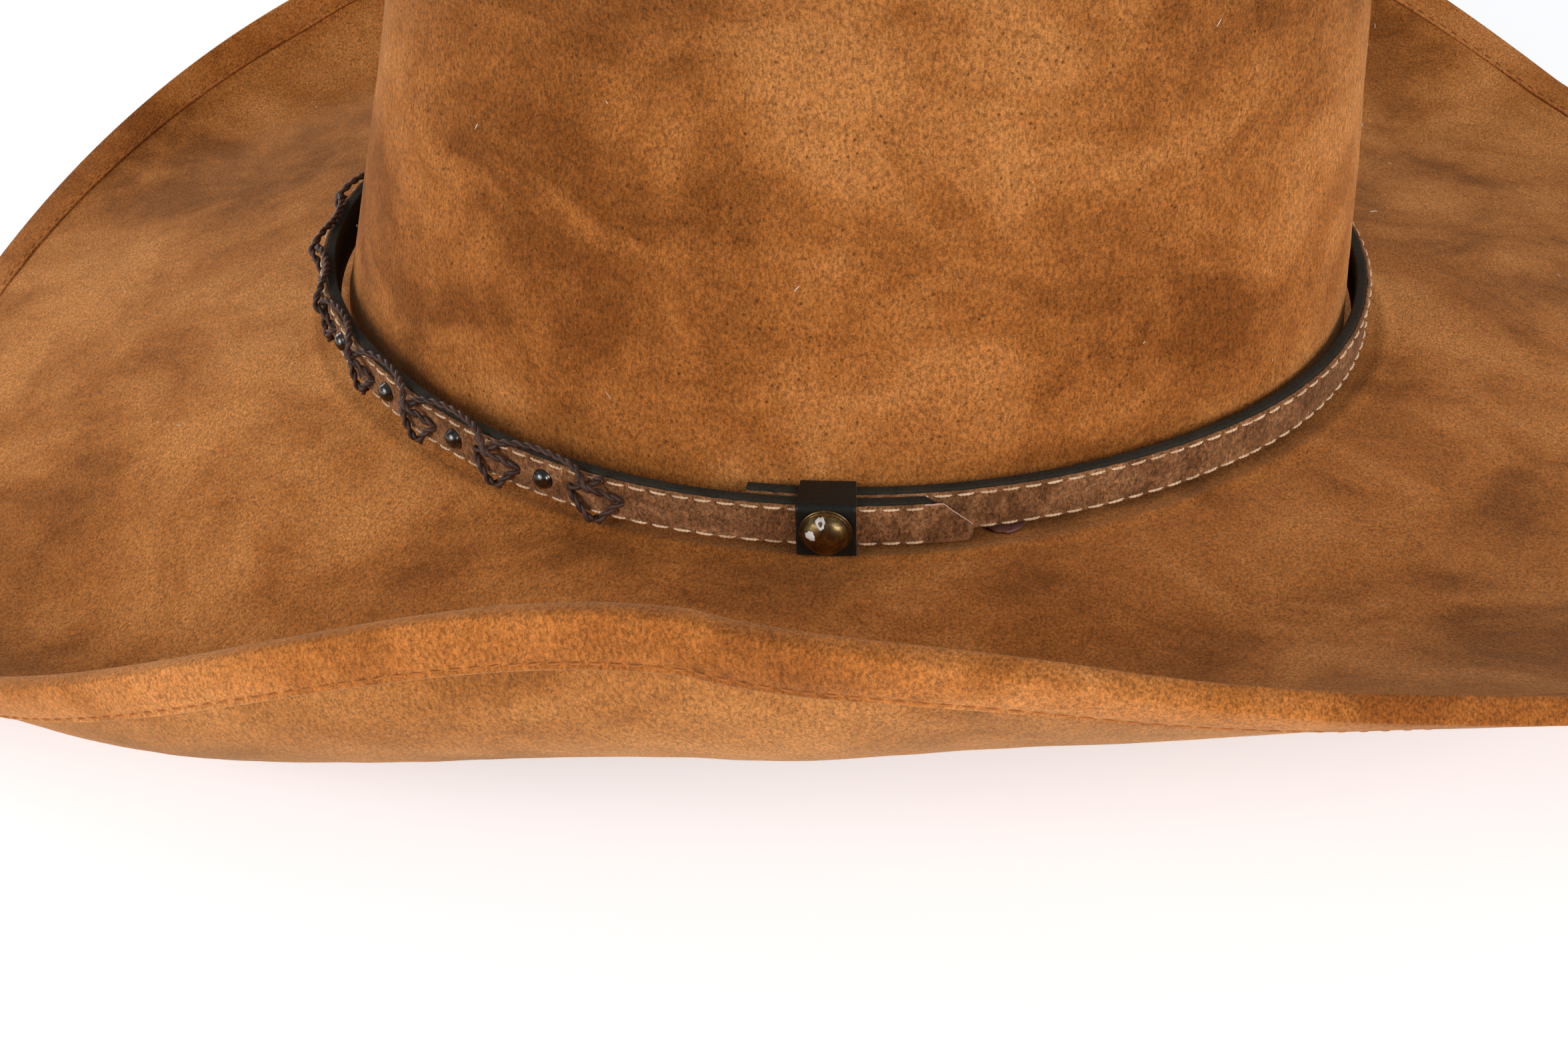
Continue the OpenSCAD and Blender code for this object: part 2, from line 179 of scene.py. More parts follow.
def front_q(dist, d):
    """Normal's angle at a distance from the front, along the oval moved outward by d."""
    turn = 90 - join_q
    end_len = (END_R + d) * math.radians(turn)
    a = abs(dist)
    if a < end_len:
        q = math.degrees(a / (END_R + d))
    else:
        q = turn + math.degrees((a - end_len) / (side_r + d))
    return -90 + math.copysign(q, dist)


def even_stations(n, d):
    """Angles q at even steps round the oval moved outward by d."""
    q = np.linspace(0, 360, 2001)
    x, y = oval(q, d)
    run = np.concatenate([[0], np.cumsum(np.hypot(np.diff(x), np.diff(y)))])
    return np.interp(np.linspace(0, run[-1], n, endpoint=False), run, q)


# ---- Crown and brim surfaces ----
def wall_slope(q):
    """How far the crown's wall leans inward for each millimetre up."""
    s = np.sin(np.radians(q))
    return SIDE_SLOPE * (1 - s * s) + np.where(s > 0, BACK_SLOPE, FRONT_SLOPE) * s * s


def crown(q, k, off):
    """Crown surface: k from 0 to 1 up the wall, to 2 over the shoulder, to 3 at the top's centre."""
    s = np.sin(np.radians(q))
    tall = SHOULDER_H + CROWN_RISE / 2 * s
    share = np.clip(k, 0, 1)
    turn = np.radians(np.clip(k - 1, 0, 1) * 90)
    centre = 1 - np.clip(k - 2, 0, 1)
    inward = wall_slope(q) * tall * share + off * np.cos(turn) + SHOULDER_R * (1 - np.cos(turn))
    x, y = oval(q, -inward)
    z = BRIM_T + tall * share + (SHOULDER_R - off) * np.sin(turn)
    top = BRIM_T + SHOULDER_H + SHOULDER_R - off + CROWN_RISE / 2 * s * centre
    z = np.where(k > 2, top, z)
    x, y = x * centre, y * centre
    dent = DENT_DEPTH * np.exp(-((y - DENT_Y) / DENT_LONG) ** 2 - ((z - DENT_Z) / DENT_TALL) ** 2)
    dent = dent * np.cos(np.radians(q)) ** 2
    crease = CREASE_DEPTH * np.exp(-(x / CREASE_HALF) ** 2)
    crease = crease * (1 - CREASE_LESS * smooth((y - CREASE_FADE_Y) / CREASE_FADE_LEN))
    x = x - np.sign(x) * np.minimum(np.abs(x), dent)
    return x, y, z - crease * smooth(k - 1)


def along(q):
    """Place along the hat's length: -1 at the front, 0 at the sides, 1 at the back."""
    return oval(q - BRIM_TURN, 0)[1] / (CROWN_LEN / 2)


def brim_width(q):
    """Distance from the crown to the brim's edge."""
    return BRIM_W + END_EXTRA * along(q) ** 2


def brim(q, s, off):
    """Brim surface at distance s from the crown and depth off below the top."""
    v = along(q)
    a = np.abs(v)
    front_roll = SIDE_ROLL * (1 - a ** 4) + FRONT_ROLL * a * (1 - a)
    roll = np.where(v < 0, front_roll, SIDE_ROLL * (1 - a) ** 1.15)
    dip = np.where(v < 0, FRONT_DIP * smooth(a / 0.75), BACK_DIP * smooth((a - 0.5) / 0.5))
    dip = np.where(s > 0, dip - BRIM_TWIST * np.sin(np.radians(2 * q)), 0)
    flat = np.where(v < 0, SIDE_FLAT + FRONT_FLAT * a * a, SIDE_FLAT - BACK_FLAT * smooth(a / 0.3))
    past = np.maximum(0, s - flat)
    half = np.radians(roll / 2 * past / (brim_width(q) - flat))
    chord = past * np.sinc(half / np.pi)
    dip = np.radians(dip)
    strip = np.minimum(s, flat)
    lean = 2 * half - dip
    out = strip * np.cos(dip) + chord * np.cos(half - dip)
    up = -strip * np.sin(dip) + chord * np.sin(half - dip)
    x, y = oval(q, out + off * np.sin(lean))
    return x, y, BRIM_T + up - off * np.cos(lean)


# ---- Mesh helpers ----
def piece(name, verts, faces, body, material):
    """A smooth-shaded mesh from millimetre points that moves with a body."""
    mesh = bpy.data.meshes.new(name)
    mesh.from_pydata([Vector(v) * MM for v in verts], [], faces)
    mesh.materials.append(material)
    mesh.shade_smooth()
    mesh.update()
    obj = bpy.data.objects.new(name, mesh)
    bpy.context.collection.objects.link(obj)
    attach(obj, body)
    return obj


def grid_faces(rows, cols, closed_rows, closed_cols, base=0):
    """Quads over a grid of points, whose first point has the number base."""
    faces = []
    for i in range(rows if closed_rows else rows - 1):
        for j in range(cols if closed_cols else cols - 1):
            i2, j2 = (i + 1) % rows, (j + 1) % cols
            faces.append((base + i * cols + j, base + i * cols + j2,
                          base + i2 * cols + j2, base + i2 * cols + j))
    return faces


def end_faces(rows, cols, base=0):
    """Faces that close the first and the last row of a grid."""
    last = base + (rows - 1) * cols
    return [tuple(range(base, base + cols))[::-1], tuple(range(last, last + cols))]


def hoops(name, sections, body, material, closed=True):
    """A solid through same-length closed outlines, one per station, with capped ends if open."""
    sections = np.asarray(sections, dtype=float)
    rows, cols = sections.shape[:2]
    faces = grid_faces(rows, cols, closed, True)
    if not closed:
        faces.extend(end_faces(rows, cols))
    return piece(name, sections.reshape(-1, 3), faces, body, material)


def rounded(width, height, r, steps=4):
    """Outline of a rectangle with round corners, centred, as [across, up] points."""
    pts = []
    for cx, cy, start in ((1, 1, 0), (-1, 1, 90), (-1, -1, 180), (1, -1, 270)):
        for k in range(steps + 1):
            a = math.radians(start + 90 * k / steps)
            pts.append((cx * (width / 2 - r) + r * math.cos(a),
                        cy * (height / 2 - r) + r * math.sin(a)))
    return pts


def lumps(x, y, z, scale, seed):
    """Smooth noise from -1 to 1 at a point, with swells about as wide as scale."""
    return noise.noise(Vector((x / scale + seed, y / scale, z / scale)))


# ---- Materials ----
class Shade:
    """Small helper that adds nodes to a new material and links them."""

    def __init__(self, name):
        self.mat = bpy.data.materials.new(name)
        self.mat.use_nodes = True
        self.tree = self.mat.node_tree
        self.bsdf = self.tree.nodes["Principled BSDF"]
        self.coords = self.add("ShaderNodeTexCoord").outputs["Object"]

    def add(self, kind, **values):
        """A new shader node with its properties set."""
        node = self.tree.nodes.new(kind)
        for key, value in values.items():
            setattr(node, key, value)
        return node

    def link(self, a, b):
        """Links an output to an input."""
        self.tree.links.new(a, b)

    def set(self, **values):
        """Sets the shader's own sockets, for what is the same all over the surface."""
        for key, value in values.items():
            socket = key.replace("_", " ").title().replace("Ior", "IOR")
            self.bsdf.inputs[socket].default_value = value

    def noise(self, scale, detail=4.0, rough=0.55, distort=0.0, stretch=(1, 1, 1), offset=(0, 0, 0)):
        """Noise in object space, scale being waves per metre."""
        node = self.add("ShaderNodeTexNoise")
        node.inputs["Scale"].default_value = scale
        node.inputs["Detail"].default_value = detail
        node.inputs["Roughness"].default_value = rough
        node.inputs["Distortion"].default_value = distort
        shift = self.add("ShaderNodeMapping")
        shift.inputs["Location"].default_value = offset
        shift.inputs["Scale"].default_value = stretch
        self.link(self.coords, shift.inputs["Vector"])
        self.link(shift.outputs["Vector"], node.inputs["Vector"])
        return node.outputs["Fac"]

    def cells(self, scale):
        """Distance from the middles of scattered cells, for pores and grain."""
        node = self.add("ShaderNodeTexVoronoi")
        node.inputs["Scale"].default_value = scale
        self.link(self.coords, node.inputs["Vector"])
        return node.outputs["Distance"]

    def ramp(self, fac, stops):
        """Colours, or grey levels given as one number, at places from 0 to 1."""
        node = self.add("ShaderNodeValToRGB")
        band = node.color_ramp
        while len(band.elements) < len(stops):
            band.elements.new(0.5)
        for element, (pos, colour) in zip(band.elements, stops):
            element.position = pos
            if isinstance(colour, float):
                colour = (colour, colour, colour)
            element.color = (*colour, 1)
        self.link(fac, node.inputs["Fac"])
        return node.outputs["Color"]

    def mix(self, fac, a, b, blend="MIX"):
        """Blends two colours; each value is an output, a number or a colour."""
        node = self.add("ShaderNodeMixRGB", blend_type=blend)
        for value, socket in ((fac, node.inputs["Fac"]), (a, node.inputs[1]), (b, node.inputs[2])):
            if isinstance(value, bpy.types.NodeSocket):
                self.link(value, socket)
            elif isinstance(value, (int, float)):
                socket.default_value = value
            else:
                socket.default_value = (*value, 1)
        return node.outputs["Color"]

    def maths(self, kind, a, b):
        """One step of arithmetic on outputs or numbers."""
        node = self.add("ShaderNodeMath", operation=kind)
        for value, socket in ((a, node.inputs[0]), (b, node.inputs[1])):
            if isinstance(value, bpy.types.NodeSocket):
                self.link(value, socket)
            else:
                socket.default_value = value
        return node.outputs["Value"]

    def colour(self, out):
        """Uses an output as the surface's colour."""
        self.link(out, self.bsdf.inputs["Base Color"])

    def rough(self, fac, low, high):
        """Roughness between two values, following fac."""
        self.link(self.ramp(fac, [(0.3, low), (0.7, high)]), self.bsdf.inputs["Roughness"])

    def bump(self, layers):
        """Stacks (height, strength, distance in millimetres) bumps onto the shader's normal."""
        last = None
        for height, strength, deep in layers:
            node = self.add("ShaderNodeBump")
            node.inputs["Strength"].default_value = strength
            node.inputs["Distance"].default_value = deep * MM
            self.link(height, node.inputs["Height"])
            if last is not None:
                self.link(last, node.inputs["Normal"])
            last = node.outputs["Normal"]
        self.link(last, self.bsdf.inputs["Normal"])


def suede(name, dark, middle, light, seed, pores=0.0):
    """Brushed suede: soft clouds of nap lying two ways, wisps at their borders and a fine nap.

    With pores it also has patches of open pits and painted shade that darkens it toward the crown's top.
    """
    m = Shade(name)
    where = (seed, seed * 0.7, seed * 1.3)
    cloud = m.noise(13, 3, 0.5, 0.8, offset=where)
    patch = m.noise(34, 4, 0.6, 0.8, stretch=(1, 0.8, 1.3), offset=where)
    wisps = m.noise(95, 4, 0.6, 1.4, stretch=(1.5, 1, 0.7), offset=where)
    mottle = m.mix(0.5, cloud, patch)
    mottle = m.mix(0.12, mottle, wisps)
    base = m.ramp(mottle, [(0.40, dark), (0.49, middle), (0.60, light)])
    nap = m.noise(1800, 3, 0.6, 0.5, stretch=(1, 1, 0.6))
    fibre = m.noise(3300, 2, 0.6, 0.0, stretch=(0.5, 1, 1))
    height = m.mix(0.4, nap, fibre)
    base = m.mix(1.0, base, m.ramp(height, [(0.38, 0.55), (0.5, 1.0), (0.62, 1.5)]), "MULTIPLY")
    if pores:
        place = m.add("ShaderNodeSeparateXYZ")
        m.link(m.coords, place.inputs["Vector"])
        # Painted shade: the suede's colour darkens with height toward the crown's top.
        painted_top_shade = m.maths("MULTIPLY", place.outputs["Z"], 1 / (TOP_SHADE_Z * MM))
        base = m.mix(1.0, base, m.ramp(painted_top_shade, [(0.35, 1.0), (0.95, 0.72)]), "MULTIPLY")
        pits = m.ramp(m.cells(520), [(0.10, 0.0), (0.20, 1.0)])
        some = m.ramp(m.noise(60, 3, 0.6, 0.4), [(0.40, 1.0), (0.56, 0.0)])
        pits = m.mix(1.0, pits, some, "LIGHTEN")
        base = m.mix(1.0, base, m.ramp(pits, [(0.0, 1.0 - pores), (1.0, 1.0)]), "MULTIPLY")
    m.colour(base)
    m.rough(nap, 0.88, 1.0)
    m.set(sheen_weight=0.25, sheen_roughness=0.4, sheen_tint=(1.0, 0.70, 0.40, 1), specular_ior_level=0.08)
    m.bump([(patch, 0.2, 1.2), (height, 0.8, 0.4)])
    return m.mat


def leather(name, dark, light, gloss, grain=900):
    """Leather, and other pebbled surfaces: two tones and a grain of cells per metre."""
    m = Shade(name)
    tone = m.noise(120, 5, 0.6, 0.5)
    pebble = m.cells(grain)
    m.colour(m.mix(0.5, m.ramp(tone, [(0.35, dark), (0.65, light)]),
                   m.ramp(pebble, [(0.1, dark), (0.5, light)])))
    m.rough(tone, gloss, gloss + 0.2)
    m.set(specular_ior_level=0.22)
    m.bump([(pebble, 0.25, 0.12), (m.noise(2600, 3), 0.3, 0.06)])
    return m.mat


def thread(name, dark, light, gloss):
    """Fuzzy twisted yarn."""
    m = Shade(name)
    fuzz = m.noise(5200, 3, 0.6, 0.0)
    wander = m.noise(260, 3, 0.6, 0.0)
    m.colour(m.mix(0.5, m.ramp(fuzz, [(0.35, dark), (0.6, light)]),
                   m.ramp(wander, [(0.35, dark), (0.6, light)])))
    m.rough(fuzz, gloss, min(1.0, gloss + 0.25))
    m.set(specular_ior_level=0.3)
    m.bump([(fuzz, 0.6, 0.08)])
    return m.mat


def metal(name, dark, light, low, high):
    """Metal with a patchy patina and fine specks."""
    m = Shade(name)
    patina = m.noise(420, 6, 0.65, 0.8)
    fine = m.noise(2940, 4, 0.7, 0.0)
    m.colour(m.mix(0.3, m.ramp(patina, [(0.38, dark), (0.62, light)]),
                   m.ramp(fine, [(0.3, dark), (0.7, light)])))
    m.rough(patina, high, low)
    m.set(metallic=1.0)
    m.bump([(fine, 0.12, 0.03)])
    return m.mat


def woven(name, dark, light, per_metre, gloss):
    """Cloth with two crossing sets of yarns."""
    m = Shade(name)
    bands = []
    for direction in ("DIAGONAL", "Z"):
        wave = m.add("ShaderNodeTexWave", bands_direction=direction)
        wave.inputs["Scale"].default_value = per_metre
        m.link(m.coords, wave.inputs["Vector"])
        bands.append(wave.outputs["Fac"])
    weave = m.mix(0.5, bands[0], bands[1])
    cloth = m.mix(0.35, weave, m.noise(300, 4, 0.6, 0.3))
    m.colour(m.ramp(cloth, [(0.3, dark), (0.7, light)]))
    m.rough(cloth, gloss, gloss + 0.15)
    m.bump([(weave, 0.4, 0.08)])
    return m.mat


TOP_TONES = ((0.22, 0.068, 0.012), (0.375, 0.128, 0.027), (0.52, 0.205, 0.055))
# The underside's tones are the top suede's tones darkened: painted shade on the brim's underside.
UNDER_SHADED_TONES = ((0.20, 0.066, 0.012), (0.315, 0.110, 0.024), (0.41, 0.160, 0.042))
BINDING_TONES = ((0.24, 0.070, 0.012), (0.385, 0.128, 0.026), (0.50, 0.190, 0.052))
crown_suede = suede("crown_suede", *TOP_TONES, seed=3.1, pores=0.55)
brim_suede = suede("brim_suede", *TOP_TONES, seed=5.7)
under_suede_painted_shade = suede("under_suede_painted_shade", *UNDER_SHADED_TONES, seed=9.2)
binding_suede = suede("binding_suede", *BINDING_TONES, seed=1.9)
felt = woven("stiff_felt", (0.30, 0.26, 0.22), (0.48, 0.43, 0.37), 700, 0.85)
satin = woven("black_satin", (0.006, 0.006, 0.007), (0.028, 0.027, 0.028), 1500, 0.38)
ribbon = woven("bow_ribbon", (0.008, 0.008, 0.009), (0.035, 0.034, 0.035), 2400, 0.35)
tag_cloth = woven("tag_cloth", (0.66, 0.64, 0.60), (0.86, 0.85, 0.81), 2200, 0.6)
steel = metal("wire_steel", (0.30, 0.30, 0.31), (0.62, 0.62, 0.63), 0.3, 0.5)
gunmetal = metal("gunmetal", (0.045, 0.045, 0.045), (0.17, 0.165, 0.155), 0.16, 0.34)
sweat_leather = leather("sweat_leather", (0.115, 0.052, 0.022), (0.21, 0.10, 0.045), 0.5)
core_leather = leather("core_leather", (0.008, 0.007, 0.004), (0.030, 0.026, 0.018), 0.75, 1300)
loop_leather = leather("loop_leather", (0.005, 0.006, 0.005), (0.013, 0.014, 0.012), 0.36, 1500)
reed_plastic = leather("reed_plastic", (0.01, 0.01, 0.01), (0.02, 0.02, 0.02), 0.4)
cream_thread = thread("cream_thread", (0.40, 0.22, 0.11), (0.90, 0.66, 0.44), 0.4)
tan_thread = thread("tan_thread", (0.25, 0.08, 0.016), (0.44, 0.155, 0.036), 0.9)
waxed_cord = thread("waxed_cord", (0.012, 0.006, 0.004), (0.085, 0.042, 0.030), 0.34)
glue = leather("dried_glue", (0.10, 0.035, 0.028), (0.20, 0.085, 0.065), 0.3)
raw_edge = leather("raw_edge", (0.50, 0.30, 0.24), (0.72, 0.50, 0.42), 0.8)
cut_edge = leather("cut_leather_edge", (0.16, 0.14, 0.125), (0.38, 0.35, 0.32), 0.6, 1200)
lint_white = thread("lint", (0.62, 0.56, 0.46), (0.9, 0.88, 0.84), 0.9)
fleck_paint = leather("fleck_paint", (0.42, 0.40, 0.38), (0.74, 0.72, 0.70), 0.7)


def strap_suede():
    """The strap's darker suede, with pale flecks in its nap."""
    m = Shade("strap_suede")
    nap = m.noise(1700, 4, 0.7, 0.8, stretch=(1, 1, 0.7))
    cloud = m.noise(110, 4, 0.6, 1.2)
    base = m.ramp(cloud, [(0.36, (0.135, 0.055, 0.020)), (0.5, (0.215, 0.093, 0.036)),
                          (0.64, (0.31, 0.148, 0.062))])
    fleck = m.ramp(m.noise(900, 3, 0.7, 0.8), [(0.56, 1.0), (0.68, 1.7)])
    base = m.mix(1.0, base, m.ramp(nap, [(0.38, 0.45), (0.62, 1.5)]), "MULTIPLY")
    m.colour(m.mix(1.0, base, fleck, "MULTIPLY"))
    m.rough(nap, 0.84, 1.0)
    m.set(sheen_weight=0.12, sheen_roughness=0.5, sheen_tint=(1.0, 0.8, 0.6, 1), specular_ior_level=0.1)
    m.bump([(nap, 0.8, 0.3)])
    return m.mat


def aged_brass():
    """Brass gone brown in patches."""
    m = Shade("aged_brass")
    cloud = m.noise(330, 6, 0.7, 1.0)
    fine = m.noise(2400, 4, 0.7, 0.0)
    base = m.ramp(cloud, [(0.32, (0.045, 0.026, 0.014)), (0.5, (0.13, 0.085, 0.035)),
                          (0.68, (0.30, 0.21, 0.085))])
    m.colour(m.mix(1.0, base, m.ramp(fine, [(0.3, 0.7), (0.7, 1.25)]), "MULTIPLY"))
    m.rough(cloud, 0.46, 0.30)
    m.set(metallic=1.0)
    m.bump([(fine, 0.25, 0.04)])
    return m.mat


strap_face_suede = strap_suede()
brass = aged_brass()


# ---- Crown ----
K_LAST = 2.985


def crown_layer(q, k, off):
    """The crown's surface moved inward by off, square to the surface, so that layers never cross."""
    step_q, step_k, k_top = 0.4, 0.006, 2.99
    k_low, k_high = np.maximum(k - step_k, 0), np.minimum(k + step_k, k_top)
    round_q = [b - a for a, b in zip(crown(q - step_q, k, 0.0), crown(q + step_q, k, 0.0))]
    upward = [b - a for a, b in zip(crown(q, k_low, 0.0), crown(q, k_high, 0.0))]
    normal = np.cross(np.stack(round_q, axis=-1), np.stack(upward, axis=-1))
    normal /= np.linalg.norm(normal, axis=-1)[..., None] + 1e-12
    place = np.stack(crown(q, k, 0.0), axis=-1) - np.asarray(off)[..., None] * normal
    return place[..., 0], place[..., 1], place[..., 2]


def lumpy_crown(q, k, off, fine, coarse):
    """The crown's surface, raised by slow swells and small lumps of the given heights."""
    x, y, z = crown_layer(q, k, off)
    rise = [coarse * lumps(a, b, c, 26, 2.0) + fine * lumps(a, b, c, 5, 42.0)
            for a, b, c in zip(x.ravel(), y.ravel(), z.ravel())]
    return np.stack(crown_layer(q, k, off - np.array(rise).reshape(x.shape)), axis=-1)


def dome(name, k0, outer, inner, material, node, n=300, m=110, fine=0.0, coarse=0.0):
    """A closed shell of the crown from height k0 to its top, between two depths."""
    q = np.repeat(even_stations(n, -20)[:, None], m, axis=1)
    k = np.repeat(np.linspace(k0, K_LAST, m)[None, :], n, axis=0)
    face = lumpy_crown(q, k, np.full_like(q, outer), fine, coarse)
    back = np.stack(crown_layer(q, k, np.full_like(q, inner)), axis=-1)[:, ::-1]
    loops = np.concatenate([face, back], axis=1)
    faces = [f for f in grid_faces(n, 2 * m, True, True) if f[0] % (2 * m) != m - 1]
    tips = [[float(v) for v in crown(np.array(0.0), np.array(3.0), off)] for off in (outer, inner)]
    apex = n * 2 * m
    for i in range(n):
        a, b = i * 2 * m + m - 1, (i + 1) % n * 2 * m + m - 1
        faces.append((a, apex, b))
        faces.append((a + 1, b + 1, apex + 1))
    verts = np.concatenate([loops.reshape(-1, 3), np.array(tips)])
    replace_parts(piece(name, verts, faces, "hat", material), node)


dome("crown_suede_cover", 0, 0, COVER_T, crown_suede, "crown_cover",
     n=420, m=170, fine=0.12, coarse=0.45)
dome("crown_felt_body", 0, COVER_T + LAYER_GAP, COVER_T + CROWN_CORE_T, felt, "crown_body")
dome("crown_satin_tip", 1, CROWN_T - LINING_T + LAYER_GAP, CROWN_T, satin, "crown_lining_tip",
     n=240, m=80)


def side_lining():
    """The gathered satin lining of the crown's wall."""
    n, m = 300, 24
    q = np.repeat(even_stations(n, -8)[:, None], m, axis=1)
    k = np.repeat(np.linspace(0, 1, m)[None, :], n, axis=0)
    gathers = 0.35 * (0.5 + 0.5 * np.sin(np.radians(q * 26))) * np.sin(k * math.pi) ** 0.5
    face = np.stack(crown_layer(q, k, np.full_like(q, CROWN_T - LINING_T + LAYER_GAP)), axis=-1)
    back = np.stack(crown_layer(q, k, CROWN_T + gathers), axis=-1)[:, ::-1]
    obj = hoops("crown_satin_side", np.concatenate([face, back], axis=1), "hat", satin)
    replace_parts(obj, "crown_lining_side")


side_lining()


# ---- Brim ----
def lumpy_brim(q, s, off, lift, seed):
    """Brim surface with slow swells, and on its top a low fold that runs just outside the strap."""
    fold_at, fold_half, fold_high = 7.5 + 0.8 * np.sin(np.radians(q * 5)), 1.3, 0.55
    x, y, z = brim(q, s, off)
    rise = [lumps(a, b, c, 30, seed) + 0.25 * lumps(a, b, c, 6, seed + 20)
            for a, b, c in zip(x.ravel(), y.ravel(), z.ravel())]
    fold = 0.0 if off else fold_high * np.exp(-((s - fold_at) / fold_half) ** 2)
    return np.stack(brim(q, s, off - fold - lift * np.array(rise).reshape(x.shape)), axis=-1)


def brim_shell(name, upper, lower, short, material, node, lifts=(0.0, 0.0), n=440, m=76):
    """A closed layer of the brim between two depths, up to a distance short of the edge."""
    q = np.repeat(even_stations(n, 50)[:, None], m, axis=1)
    share = np.linspace(0, 1, m)[None, :] ** 1.4
    s = -CROWN_T + share * (brim_width(q) - short + CROWN_T)
    fade = smooth(share * 8) * smooth((1 - share) * 8)
    top = lumpy_brim(q, s, upper, lifts[0] * fade, 1.0)
    low = lumpy_brim(q, s, lower, -lifts[1] * fade, 7.0)
    obj = hoops(name, np.concatenate([top, low[:, ::-1]], axis=1), "hat", material)
    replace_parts(obj, node)


brim_shell("brim_suede_top", 0, COVER_T, 0, brim_suede, "brim_top_cover", (0.4, 0.0))
# The brim's underside, in the top's suede with painted shade.
brim_shell("brim_suede_under", BRIM_T - COVER_T, BRIM_T, 0, under_suede_painted_shade,
           "brim_under_cover", (0.0, 0.4))
brim_shell("brim_felt_core", COVER_T + LAYER_GAP, BRIM_T - COVER_T - LAYER_GAP, CORE_SHORT, felt,
           "brim_interlining", n=240, m=40)


def edge_hoop(name, outline, material, node):
    """A hoop round the brim's edge; outline points are [distance in from the edge, depth]."""
    q = even_stations(560, 100)
    cols = [np.stack(brim(q, brim_width(q) - back, np.full_like(q, deep)), axis=-1)
            for back, deep in outline]
    obj = hoops(name, np.stack(cols, axis=1), "hat", material)
    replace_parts(obj, node)


def binding_outline():
    """A folded strip: its face is pressed in by the hem stitches, and its fold is round."""
    face = [(0, 0.7), (2.5, 0.74), (4.8, 0.74), (6.2, 0.64), (6.9, 0.44), (HEM_IN, 0.36), (7.7, 0.44),
            (8.1, 0.52), (BINDING_W, 0.34), (BINDING_W, 0.03)]
    fold_r = BRIM_T / 2 + BINDING_T
    fold = [(-0.72 * math.sin(a), BRIM_T / 2 - fold_r * math.cos(a)) for a in np.radians(range(18, 180, 18))]
    above = [(back, -rise) for back, rise in face[::-1]]
    below = [(back, BRIM_T + rise) for back, rise in face]
    return above + fold + below + [(0.02, BRIM_T + 0.03), (0.02, -0.03)]


def wire_outline():
    """The round wire inside the brim's edge."""
    return [(WIRE_IN - WIRE_R * math.cos(a), BRIM_T / 2 + WIRE_R * math.sin(a))
            for a in np.radians(range(0, 360, 30))]


edge_hoop("brim_wire_hoop", wire_outline(), steel, "brim_wire")
edge_hoop("brim_binding", binding_outline(), binding_suede, "brim_edge_binding")


# ---- Stitches and cords ----
def tube_mesh(path, r, sides, verts, faces, taper=False, twist=None):
    """Adds a closed tube along path to verts and faces. twist is (orbit, turns per mm, phase)."""
    path = np.asarray(path, dtype=float)
    n = len(path)
    step = np.gradient(path, axis=0)
    step /= np.linalg.norm(step, axis=1)[:, None] + 1e-9
    u = np.cross(step[0], (0.3, 0.2, 1.0))
    run = 0.0
    base = len(verts)
    for i in range(n):
        u = u - step[i] * np.dot(u, step[i])
        u /= np.linalg.norm(u)
        v = np.cross(step[i], u)
        if i:
            run += np.linalg.norm(path[i] - path[i - 1])
        centre = path[i]
        if twist:
            orbit, turns, phase = twist
            turn = 2 * math.pi * (run * turns) + phase
            centre = centre + orbit * (u * math.cos(turn) + v * math.sin(turn))
        size = r
        if taper:
            size = r * max(0.25, max(0.0, math.sin(math.pi * i / (n - 1))) ** 0.35)
        for j in range(sides):
            a = 2 * math.pi * j / sides
            verts.append(centre + size * (u * math.cos(a) + v * math.sin(a)))
    faces.extend(grid_faces(n, sides, False, True, base))
    faces.extend(end_faces(n, sides, base))


def stitch(at, length, r, verts, faces, dive, plies=1):
    """Adds one stitch. at(move, deep) is its place, moved along the seam and sunk by deep."""
    path = [at(t * length / 2, dive * abs(t) ** 4) for t in np.linspace(-1, 1, 9)]
    if plies == 1:
        tube_mesh(path, r, 6, verts, faces, True)
        return
    for ply in range(plies):
        tube_mesh(path, r * 0.72, 6, verts, faces, True, (r * 0.45, 0.7, math.pi * ply))


def hem_speed(q):
    """How far a hem stitch moves for each radian of q."""
    a, b = (np.array(brim(np.array(q + d), brim_width(q) - HEM_IN, 0.0)) for d in (-0.5, 0.5))
    return float(np.linalg.norm(b - a)) / math.radians(1.0)


def binding_stitches():
    """The binding's hem stitches, on the brim's top and then on its underside."""
    verts, faces = [], []
    for depth, sink in ((-0.5, 1), (BRIM_T + 0.5, -1)):
        for here in even_stations(HEM_STITCHES, 100):
            lean = rng.uniform(-0.12, 0.12)

            def at(move, deep, here=here, lean=lean, depth=depth, sink=sink):
                turn = here + math.degrees(move / hem_speed(here))
                x, y, z = brim(np.array(turn), brim_width(turn) - HEM_IN + lean * move, depth + sink * deep)
                return np.array([float(x), float(y), float(z)])
            stitch(at, 2.3, 0.2, verts, faces, 0.35)
    obj = piece("binding_stitches", verts, faces, "hat", tan_thread)
    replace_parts(obj, "binding_stitching")


binding_stitches()


# ---- Sweatband ----
def inside(q, z, off):
    """Place at height z, off inside the crown's outer oval."""
    x, y = oval(q, -wall_slope(q) * np.maximum(0, z) - off)
    return x, y, z + 0 * x


